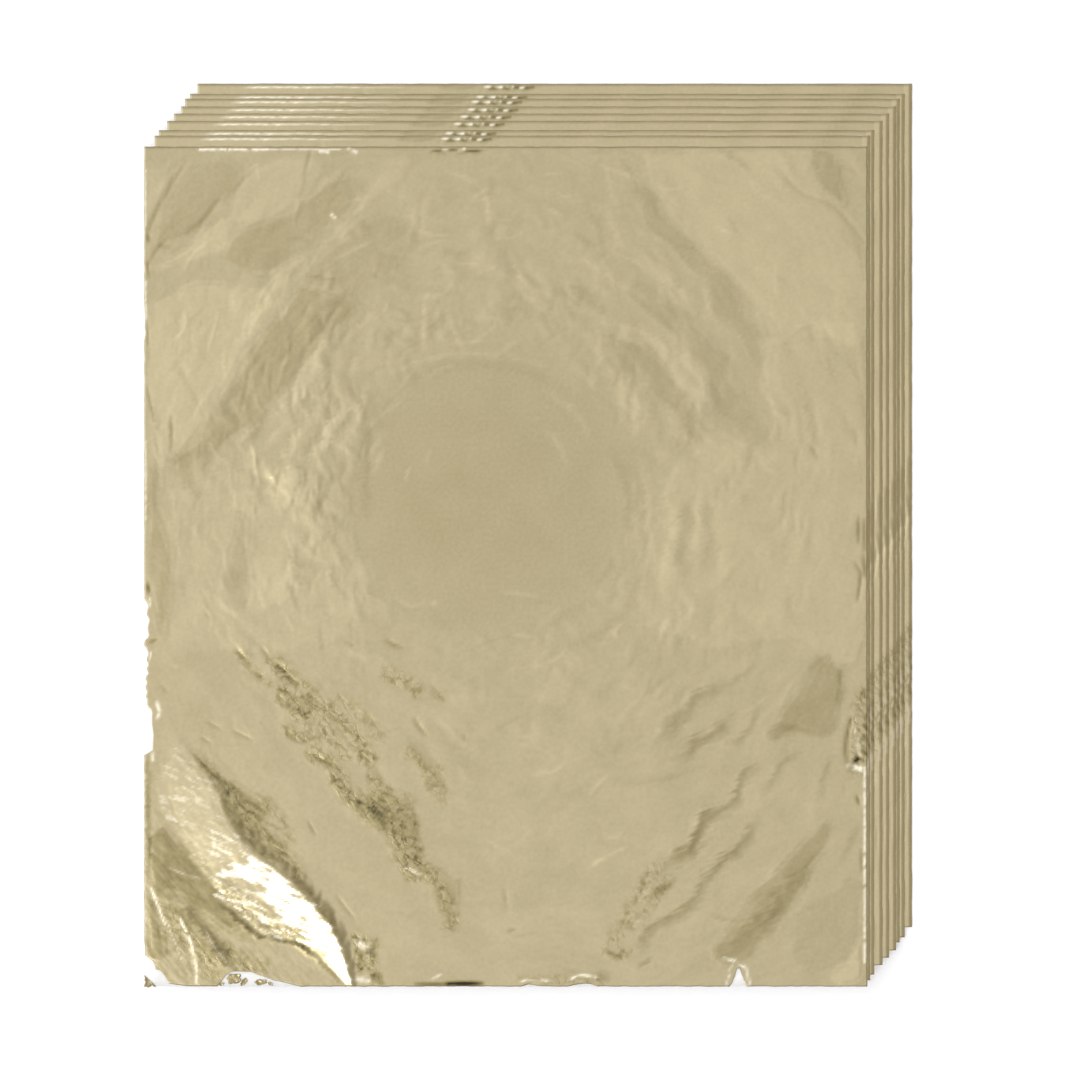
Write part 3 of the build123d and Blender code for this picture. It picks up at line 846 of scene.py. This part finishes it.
def edge_marks(x, y, height, tone, top_leaf):
    """The rims, pressed down by the knife that squared the leaf and darkened as painted shade, and on the
    lower leaves the painted light of their margin strips and the ticks of painted shade in them.
    """
    right, top = leaf_width - x, leaf_length - y
    height -= rim_press * np.clip(1 - top / rim_width, 0, 1)
    rim_shade_top = 0.8 + 0.9 * unevenness(x / 4, y * 0, 43)
    if top_leaf:
        # Painted shade along the top rim.
        tone -= 0.16 * np.clip(1.2 - top / rim_width, 0, 1) * rim_shade_top
        return
    rim_shade_right = 0.8 + 0.9 * unevenness(x * 0, y / 4, 44)
    height -= rim_press * np.clip(1 - right / rim_width, 0, 1)
    # Painted light on the margin strips, then painted shade along the top and right rims.
    tone += 0.05 * (top < 2) + 0.13 * (right < 1.4)
    tone -= 0.24 * fading(top, 0.42, 4) * rim_shade_top
    tone -= 0.17 * fading(right, 0.32, 4) * rim_shade_right
    for light, half_width, *line in margin_ticks:
        here, off, along = beside(x, y, on_leaf(line), 3 * half_width)
        tone[here] += sheen_step * light * fading(off, half_width)


def held_in(height, most):
    """A height that nears a limit to either side and never passes it."""
    return most * np.tanh(height / most)


def leaf_field(x, y, top_leaf):
    """The leaf's height over its bed, its tone and its crackle, kept within its page."""
    height, tone = ripple(x, y)
    press_facets(x, y, height, tone)
    corner_streaks(x, y, tone)
    press_bands(x, y, height, tone)
    press_creases(x, y, height, tone, top_leaf)
    crackle = crackle_foil(x, y, height, tone)
    if not top_leaf:
        tone *= np.clip(np.minimum(leaf_width - x, leaf_length - y) / 7, 0.25, 1)
    edge_marks(x, y, height, tone, top_leaf)
    if top_leaf:
        height += corner_fold(x, y)
        height = np.where(height < 0, held_in(height, deepest), height)
    else:
        height = held_in(height, half_room)
    return height, tone, crackle


# Painted glints along the edges and creases: the half width in mm, how bright it is, and the
# line. First those of the top leaf, then those in the margins of the lower ones.
glints = (
    (0.2, 1, (200, 149.6), (226, 149.6)),
    (0.2, 1, (229, 149.6), (268, 149.6)),
    (0.15, 0.6, (266, 149.4), (300, 149.6), (340, 149.4)),
    (0.28, 0.7, (320, 151), (328, 152)),
    (0.32, 0.7, (349, 149), (356, 152)),
    (0.22, 1, (444, 150), (447, 150)),
    (0.22, 1, (460, 150), (464, 149)),
    (0.12, 0.3, (146, 170), (146, 225)),
    (0.12, 0.4, (146, 282), (146.4, 318)),
    (0.12, 0.3, (146, 440), (146, 520)),
    (0.14, 0.6, (150, 598), (150, 606)),
    (0.14, 0.6, (151, 652), (150, 660)),
    (0.3, 0.7, (157, 703), (159, 711), (158, 718)),
    (0.25, 0.6, (153, 760), (151, 745)),
    (0.16, 0.6, (151, 888), (157, 904), (165, 924)),
    (0.2, 0.65, (180, 918), (190, 940), (196, 966), (196, 983)),
    (0.12, 0.35, (168, 925), (176, 945), (182, 962)),
    (0.14, 0.3, (205, 930), (214, 946), (226, 962)),
    (0.16, 0.3, (170, 868), (184, 874), (200, 878)),
    (0.2, 0.9, (725, 958), (737, 962), (742, 966)),
    (0.18, 0.6, (731, 966), (727, 984)),
    (0.2, 0.8, (745, 966), (750, 984)),
    (0.4, 1, (849, 766), (861, 769)),
    (0.24, 0.8, (864.6, 768), (864.8, 860), (864.6, 962)),
    (0.3, 0.35, (853, 724), (858, 742), (860, 756)),
    (0.2, 0.8, (522, 981), (535, 979), (548, 981)),
    (0.22, 0.9, (571, 979), (580, 975), (596, 977)),
    (0.22, 0.6, (432, 979), (440, 975)),
    (0.45, 0.8, (360, 944), (366, 948)),
    (0.45, 0.6, (356, 979), (368, 981)),
    (0.22, 0.5, (406, 868), (420, 874)),
    (0.16, 0.5, (331, 214), (336, 218)),
)
margin_glints = (
    (0.15, 1, (199, 150.2), (230, 150), (262, 150.2)),
    (0.13, 0.75, (260, 150.2), (280, 150), (306, 150.2)),
    (0.1, 0.35, (310, 150.4), (330, 150.2), (352, 150.4)),
    (0.22, 0.9, (436, 149.5), (440, 149.5)),
    (0.22, 1, (447, 150.5), (452, 150)),
    (0.22, 0.9, (459, 149.5), (463, 150)),
    (0.2, 0.8, (471, 150.5), (474, 150.5)),
    (0.22, 0.5, (864.6, 768), (864.8, 782)),
    (0.16, 0.4, (864, 724), (864.2, 742)),
)

# Painted highlights on the flank of the fold: how bright each is, how far the highlight covers
# it, from -1 for streaks alone to 1 for all of it, and its outline.
fold_highlights = (
    (0.38, -0.25, (172, 776), (186, 772), (198, 782), (200, 800), (192, 812), (186, 826), (172, 822),
        (163, 814), (160, 800)),
    (0.22, -0.3, (176, 748), (192, 762), (212, 775), (218, 795), (223, 815), (238, 832), (250, 850),
        (236, 858), (214, 866), (202, 862), (188, 838), (170, 815), (160, 790), (164, 768)),
    (1, 1.25, (222, 868), (238, 862), (256, 858), (274, 868), (286, 880), (300, 894), (312, 906),
        (323, 918), (334, 933), (342, 947), (348, 962), (351, 980), (344, 976), (331, 962), (318, 949),
        (300, 935), (286, 922), (275, 910), (264, 900), (258, 888), (240, 880), (222, 874)),
    (0.5, 0, (200, 832), (218, 826), (240, 836), (252, 850), (236, 858), (212, 858)),
    (0.6, -0.1, (212, 874), (240, 886), (262, 905), (286, 928), (300, 942), (272, 936), (251, 922),
        (231, 906), (217, 893)),
)


def highlight_mask(x, y, top_leaf):
    """Where a highlight is painted on the foil: glints at its edges and creases, and streaks on the flank
    of the fold.
    """
    painted_highlight = np.zeros(x.shape)
    for half_width, share, *line in glints if top_leaf else margin_glints:
        here, off, along = beside(x, y, on_leaf(line), 3 * half_width)
        off = off + half_width * 0.5 * bumps(x[here], y[here], 0.8, 18)
        broken = np.clip(0.95 + 2.0 * unevenness(x[here] / 1.3, y[here] / 0.9, 20), 0, 1)
        painted_highlight[here] = np.maximum(painted_highlight[here], share * broken * fading(off, half_width))
    for share, cover, *outline in fold_highlights if top_leaf else ():
        outline = on_leaf(outline)
        here = near_to(x, y, outline, outline_fray)
        near_x, near_y = x[here], y[here]
        along, over = slanted(near_x, near_y, *fold_slant)
        streaks = unevenness(along / 3.0, over / 0.55, 16) + 0.35 * bumps(near_x, near_y, 0.7, 37)
        deep = within(near_x, near_y, outline)[0] + 1.1 * streaks
        deep += 1.6 * unevenness(along / 4.3, over / 0.8, 48)
        highlighted = np.clip(deep / 0.7 + 0.1, 0, 1) * np.clip(cover + 3.2 * streaks, 0, 1)
        painted_highlight[here] = np.maximum(painted_highlight[here], share * highlighted)
    return painted_highlight


# Tears of the left and lower edge: the place where each starts, its length and its depth
# in mm, and its outline as shares of these two. The torn corner takes the corner away in
# two straight runs that meet at a bend.
left_tears = (
    (38.5, 8.6, 1.5, ((0, 0), (0.09, 0.9), (0.4, 1.0), (0.64, 0.86), (0.86, 0.9), (1, 0))),
    (47.0, 4.6, 0.6, ((0, 0.6), (0.15, 1.0), (0.3, 0.5), (0.45, 0.95), (0.6, 0.4), (0.8, 0.9), (1, 0.2))),
    (51.6, 5.2, 0.8, ((0, 0.3), (0.12, 0.9), (0.25, 0.5), (0.4, 1.0), (0.55, 0.45), (0.75, 0.9),
        (1, 0.2))),
    (57.6, 7.0, 0.9, ((0, 0), (0.1, 0.9), (0.3, 0.6), (0.5, 1.0), (0.65, 0.5), (0.85, 0.8), (1, 0))),
    (107.6, 6.6, 0.25, ((0, 0), (0.2, 1.0), (0.35, 0.3), (0.6, 0.9), (0.8, 0.3), (1, 0))),
)
bottom_tears = (
    (12.2, 13.9, 2.7, ((0, 0), (0.1, 0.7), (0.18, 0.95), (0.4, 0.9), (0.6, 0.5), (0.83, 0.2), (1, 0))),
    (97.7, 2.6, 3.6, ((0, 0), (0.3, 0.55), (0.45, 1.0), (0.6, 0.9), (0.8, 0.35), (1, 0))),
    (62.8, 4.0, 0.4, ((0, 0), (0.3, 1.0), (0.6, 0.5), (1, 0))),
    (70.6, 5.0, 0.5, ((0, 0), (0.2, 0.6), (0.5, 1.0), (0.8, 0.7), (1, 0))),
)
corner_tear_height, corner_tear_width = 4.9, 3.7
corner_tear_bend = (1.9, 2.9)
edge_fray = 0.09
edge_reach = 2.2


def tear(place, tears):
    """How far the edge is set in at a place along it."""
    depth = np.zeros(place.shape)
    for start, spread, deep, shape in tears:
        along, share = zip(*shape)
        depth += deep * np.interp((place - start) / spread, along, share, left=0, right=0)
    return depth


def fray(place, size, seed):
    """How far the frayed edge wanders at a place along it."""
    return edge_fray * unevenness(place / size, np.full_like(place, 0.5), seed)


def cut_sheet(columns, rows):
    """The leaf's net of places, drawn in at its edges to where they are torn."""
    u, v = np.meshgrid(columns, rows)
    by_left, by_right = np.exp(-u / edge_reach), np.exp(-(leaf_width - u) / edge_reach)
    by_bottom, by_top = np.exp(-v / edge_reach), np.exp(-(leaf_length - v) / edge_reach)
    x = u + by_left * (tear(v, left_tears) + fray(v, 1.3, 21)) - by_right * fray(v, 1.3, 22)
    y = v + by_bottom * (tear(u, bottom_tears) + fray(u, 1.3, 23)) - by_top * 0.6 * fray(u, 1.7, 24)
    from_left = by_left * np.clip(1 - v / corner_tear_height, 0, 1)
    from_bottom = by_bottom * np.clip(1 - u / corner_tear_width, 0, 1)
    drawn_in = from_left + from_bottom - from_left * from_bottom
    return x + corner_tear_bend[0] * drawn_in, y + corner_tear_bend[1] * drawn_in


# The metal: one alloy for all the leaves and scraps, a soft tan that is painted deeper where it
# is shaded and near white where a highlight is painted on it.
leaf_tan = (0.722, 0.673, 0.534)
leaf_deep_tan = (0.732, 0.675, 0.488)
highlight_white = (1.0, 0.93, 0.74)


def sum_node(tree, operation, *values):
    """A sum between sockets and plain numbers, as a new node of a material."""
    return add_node(tree, "Math", dict(enumerate(values)), operation=operation).outputs[0]


def smooth_range(tree, value, start, end, at_start=0.0, at_end=1.0):
    """A value brought smoothly from one range into another."""
    ranges = {"From Min": start, "From Max": end, "To Min": at_start, "To Max": at_end}
    inputs = {"Value": value, **ranges}
    return add_node(tree, "MapRange", inputs, interpolation_type="SMOOTHSTEP").outputs["Result"]


def mixed(tree, share, first, second, **settings):
    """Two colours mixed, with the share of the second."""
    inputs = {"Factor": share, "A": first, "B": second}
    return add_node(tree, "Mix", inputs, data_type="RGBA", **settings).outputs["Result"]


metal = bpy.data.materials.new("beaten leaf metal")
metal.use_nodes = True
tree = metal.node_tree
marks = [
    add_node(tree, "Attribute", {}, attribute_name=name)
    for name in ("place", "tone", "crackle", "painted_highlight")
]
place = marks[0].outputs["Vector"]
tone, crackled, painted_highlight = (mark.outputs["Fac"] for mark in marks[1:])

# The grain of the beating and the blotches of handling vary the shade and the roughness.
beating = add_node(tree, "Group", {
    "Place": place, "Fineness": 1600, "Detail": 3, "Strength": 0.35, "Depth": 0.00002,
}, node_tree=grain).outputs
blotch = noise(tree, place, 140, 3)["Fac"]

# The crackle is a net of seams between cells of 2.2 by 1.2 mm, which wander and are drawn
# out down the slant. It shows only where the foil is marked as crackled, and in patches.
# Its seams and patches are darkened as painted shade.
wander = noise(tree, place, 800, 2)
astray = {0: wander["Color"], 1: (0.0018, 0.0018, 0), 2: place}
wandered = add_node(tree, "VectorMath", astray, operation="MULTIPLY_ADD")
slant = {"Rotation": (0, 0, -0.8), "Scale": (0.0022, 0.0012, 1)}
turned = add_node(tree, "Mapping", {"Vector": wandered.outputs[0], **slant}, vector_type="TEXTURE")
in_cells = {"Vector": turned.outputs[0], "Scale": 1.0}
cells = add_node(tree, "TexVoronoi", in_cells, feature="DISTANCE_TO_EDGE")
seam = smooth_range(tree, cells.outputs["Distance"], 0.02, 0.17, 1.0, 0.0)
patches = sum_node(tree, "MULTIPLY_ADD", wander["Fac"], 3.0, -0.7)
crackle_line = sum_node(tree, "MULTIPLY", seam, crackled)
crackle_line = sum_node(tree, "MULTIPLY", crackle_line, patches)
crackle_line = sum_node(tree, "MAXIMUM", crackle_line, 0.0)

# The shade is the foil's tone, mostly painted light and shade, with the painted shade of the
# seams, the blotches and the grain. It turns the tan deeper where it is dark, a painted shade
# colour, and the painted highlights lie over it near white.
speck = sum_node(tree, "MULTIPLY_ADD", blotch, 0.10, -0.05)
speck = sum_node(tree, "ADD", speck, sum_node(tree, "MULTIPLY_ADD", beating["Pattern"], 0.16, -0.08))
shade = sum_node(tree, "MULTIPLY_ADD", crackle_line, -0.26, 1.0)
shade = sum_node(tree, "MULTIPLY_ADD", crackled, -0.05, shade)
shade = sum_node(tree, "ADD", shade, tone)
shade = sum_node(tree, "ADD", shade, speck)
shade = sum_node(tree, "MAXIMUM", shade, 0.08)
deepness = sum_node(tree, "MULTIPLY_ADD", shade, -2.6, 2.55)
tan = mixed(tree, deepness, linear(leaf_tan), linear(leaf_deep_tan))
shaded = mixed(tree, 1.0, tan, shade, blend_type="MULTIPLY")
highlighted = mixed(tree, painted_highlight, shaded, (*highlight_white, 1))

# The seams are sunk into the foil and the grain stands on it.
sunk = {"Height": crackle_line, "Strength": 0.22, "Distance": 0.00005}
sunk["Normal"] = beating["Normal"]
crackle_bump = add_node(tree, "Bump", sunk, invert=True)
rough = sum_node(tree, "MULTIPLY_ADD", blotch, 0.10, 0.17)
feed(tree, tree.nodes["Principled BSDF"], {
    "Base Color": highlighted,
    "Metallic": 1.0,
    "Roughness": sum_node(tree, "MULTIPLY_ADD", crackled, 0.06, rough),
    "Normal": crackle_bump.outputs["Normal"],
})


def store(sheet, name, values):
    """Keeps a number, or a place, at every point of a sheet for its material to read."""
    kind, slot = ("FLOAT_VECTOR", "vector") if values.ndim > 1 else ("FLOAT", "value")
    attribute = sheet.data.attributes.new(name, kind, "POINT")
    attribute.data.foreach_set(slot, values.astype(np.float32).ravel())


def lay_leaf(page, columns, rows, top_leaf):
    """Makes a leaf of the pack and lays it on its tissue."""
    low, high = tissue_box(page)
    width, length = (high - low)[:2]
    x, y = cut_sheet(columns, rows)
    height, tone, crackle = leaf_field(x, y, top_leaf)
    middle = high[2] + leaf_clearance + foil_thickness + half_room
    across, along = low[0] + x * width / leaf_width, low[1] + y * length / leaf_length
    upper = np.stack([across, along, middle + height], -1)
    leaf = thin_sheet(f"leaf_foil_{page}", upper, upper - [0, 0, foil_thickness])
    place = np.stack([x, y, x * 0], -1).reshape(-1, 3) * millimetre
    store(leaf, "place", np.concatenate([place, place]))
    for name, values in (("tone", tone), ("crackle", crackle), ("painted_highlight", highlight_mask(x, y, top_leaf))):
        store(leaf, name, np.tile(values.ravel(), 2))
    leaf.data.materials.append(metal)
    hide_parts(f"gold_leaf_{page}")
    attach(leaf, f"gold_leaf_{page}")


def graded_steps(length, stretches, coarse):
    """Places along one side of a leaf, closer together on the stretches that need it."""
    places, reached = [0.0], 0.0
    for start, end, fine in (*stretches, (length, length, 1.0)):
        gap = max(1, round((start - reached) / coarse))
        places += list(np.linspace(reached, start, gap + 1)[1:]) if start > reached else []
        if end > start:
            places += list(np.linspace(start, end, round((end - start) / fine) + 1)[1:])
        reached = end
    return np.array(places)


# The net of a lower leaf is fine in the margins that show, at the torn edges, and where
# glints, ticks and crackle cross the margins: the start, end and step of each stretch.
hidden_step = 1.5
margin_start, margin_step = 2.0, 0.16
lower_columns = graded_steps(
    leaf_width,
    ((0, 1, 0.3), (9, 36, 0.7), (47.5, 57, 0.32), (leaf_width - margin_start, leaf_width, margin_step)),
    hidden_step,
)
lower_rows = graded_steps(
    leaf_length,
    ((0, 1, 0.3), (28, 48, 0.7), (63, 82, 0.5), (leaf_length - margin_start, leaf_length, margin_step)),
    hidden_step,
)
for page in range(1, page_count):
    lay_leaf(page, lower_columns, lower_rows, False)

# The net of the top leaf is fine all over, and finest by the fold and at the right and
# upper rims.
rim_step, fold_step, flat_step = ((0.26, 0.29, 0.43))
top_columns = graded_steps(leaf_width, ((0, 37, fold_step), (118.5, leaf_width, rim_step)), flat_step)
top_rows = graded_steps(leaf_length, ((0, 44, fold_step), (138.5, leaf_length, rim_step)), flat_step)
lay_leaf(page_count, top_columns, top_rows, True)

# Scraps of the same leaf: bits of foil that came off with the torn corner and the torn
# lower edge. They are the same beaten metal, a little curled and made darker in uneven
# spots, and lie loose on the top tissue.
scrap_dullness = -0.30
dull_spots, dull_spot_size = 0.35, 0.0009
scrap_lift, scrap_curl, scrap_buckle = 0.06, 0.05, 0.07
scrap_rows, scrap_columns = 11, 13
scrap_ragged = 0.45

# Each scrap: its middle on the tissue, its length and width in mm, and its turn. The first
# fills the torn corner and is a triangle.
scrap_places = (
    (1.0, 0.95, 1.9, 1.9, 0.0),
    (14.9, 1.35, 2.5, 1.7, 0.25),
    (16.6, 0.75, 1.5, 0.8, 0.9),
    (19.4, 0.75, 1.9, 0.9, 0.1),
    (21.0, 0.45, 0.9, 0.5, 2.6),
    (12.9, 0.35, 0.9, 0.4, 0.2),
)
scraps = []
corner, tissue_top = tissue_box(page_count)
for index, (mid_x, mid_y, long_way, short_way, turn) in enumerate(scrap_places):
    u, v = np.meshgrid(np.linspace(-1, 1, scrap_columns), np.linspace(-1, 1, scrap_rows))
    round_x, round_y = u * np.sqrt(1 - v * v / 2), v * np.sqrt(1 - u * u / 2)
    if index == 0:
        round_x, round_y = (u + 1) * (1 - v) / 2 - 1, v
    ragged = 1 + scrap_ragged * unevenness(round_x * 1.7 + 9 * index, round_y * 1.7 + 3, 30)
    along, across = round_x * ragged * long_way / 2, round_y * ragged * short_way / 2
    curl = scrap_lift + scrap_curl * (round_x**2 + round_y**2)
    curl += scrap_buckle * unevenness(along * 1.6 + index, across * 1.6, 31)
    x = corner[0] + mid_x + along * np.cos(turn) - across * np.sin(turn)
    y = corner[1] + mid_y + along * np.sin(turn) + across * np.cos(turn)
    upper = np.stack([x, y, tissue_top[2] + foil_thickness + curl], -1)
    scraps.append(thin_sheet(f"scrap_{index}", upper, upper - [0, 0, foil_thickness]))
with bpy.context.temp_override(active_object=scraps[0], selected_editable_objects=scraps):
    bpy.ops.object.join()
scrap = scraps[0]
scrap.name = "leaf_scraps"
spots = np.empty(3 * len(scrap.data.vertices), np.float32)
scrap.data.vertices.foreach_get("co", spots)
spots = spots.reshape(-1, 3)
dull = scrap_dullness + dull_spots * bumps(spots[:, 0], spots[:, 1], dull_spot_size, 51)
store(scrap, "place", spots)
store(scrap, "tone", dull)
scrap.data.materials.append(metal)
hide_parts("leaf_flakes")
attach(scrap, f"tissue_{page_count}")

# The table, the light and the camera: a plain white table top, one round softbox high on
# the lower left, walls that are brighter on the left, and the camera straight above.
table_reach = 5.0
table_drop = 0.00005
table_white = (0.84, 0.84, 0.84, 1)
table_glow = 0.21
corners = [(across * table_reach, along * table_reach, -table_drop)
           for across, along in ((-1, -1), (1, -1), (1, 1), (-1, 1))]
table_mesh = bpy.data.meshes.new("table")
table_mesh.from_pydata(corners, [], [(0, 1, 2, 3)])
table = bpy.data.objects.new("table", table_mesh)
bpy.context.collection.objects.link(table)
white_top = bpy.data.materials.new("table top")
white_top.use_nodes = True
tree = white_top.node_tree
matte = tree.nodes["Principled BSDF"]
feed(tree, matte, {
    "Base Color": table_white,
    "Roughness": 0.9,
    "Specular IOR Level": 0.0,
})
rays = add_node(tree, "LightPath", {}).outputs
seen = sum_node(tree, "ADD", rays["Is Camera Ray"], rays["Is Glossy Ray"])
seen = sum_node(tree, "ADD", seen, rays["Is Transmission Ray"])
seen = sum_node(tree, "MINIMUM", seen, 1.0)
strength = sum_node(tree, "MULTIPLY", seen, table_glow)
glow = add_node(tree, "Emission", {"Color": (1, 1, 1, 1), "Strength": strength})
lit = add_node(tree, "AddShader", {0: matte.outputs["BSDF"], 1: glow.outputs["Emission"]})
feed(tree, tree.nodes["Material Output"], {"Surface": lit.outputs["Shader"]})
table_mesh.materials.append(white_top)

wall_right = (0.59, 0.565, 0.515, 1)
wall_left = (1.51, 1.53, 1.62, 1)
scene = bpy.context.scene
scene.world = bpy.data.worlds.new("studio") if scene.world is None else scene.world
scene.world.use_nodes = True
tree = scene.world.node_tree
towards = add_node(tree, "TexCoord", {})
parts = add_node(tree, "SeparateXYZ", {"Vector": towards.outputs["Generated"]})
to_left = smooth_range(tree, parts.outputs["X"], 0.5, -0.5)
to_ends = sum_node(tree, "ABSOLUTE", parts.outputs["Y"])
feed(tree, tree.nodes["Background"], {
    "Color": mixed(tree, to_left, wall_right, wall_left),
    "Strength": smooth_range(tree, to_ends, 0.3, 0.9, 1.0, 0.65),
})

softbox_tilt = np.radians(24)
softbox_away = 1.1
softbox_side = (-0.72, -0.69)
softbox = bpy.data.lights.new("softbox", "AREA")
softbox.shape = "DISK"
softbox.size = 0.32
softbox.energy = 1.4
lamp = bpy.data.objects.new("softbox", softbox)
bpy.context.collection.objects.link(lamp)
lamp.location = (
    softbox_side[0] * np.sin(softbox_tilt) * softbox_away,
    softbox_side[1] * np.sin(softbox_tilt) * softbox_away,
    np.cos(softbox_tilt) * softbox_away,
)
lamp.rotation_euler = (-lamp.location).to_track_quat("-Z", "Y").to_euler()
lamp.visible_camera = False

view_middle = (0.001925, -0.000883)
view_height = 0.0028
view_width = 0.180
camera = bpy.data.cameras.new("camera")
camera.lens = 300
camera.sensor_width = 36
eye = bpy.data.objects.new("camera", camera)
bpy.context.collection.objects.link(eye)
eye.location = (*view_middle, view_height + view_width * camera.lens / camera.sensor_width)
scene.camera = eye
scene.view_settings.view_transform = "Standard"
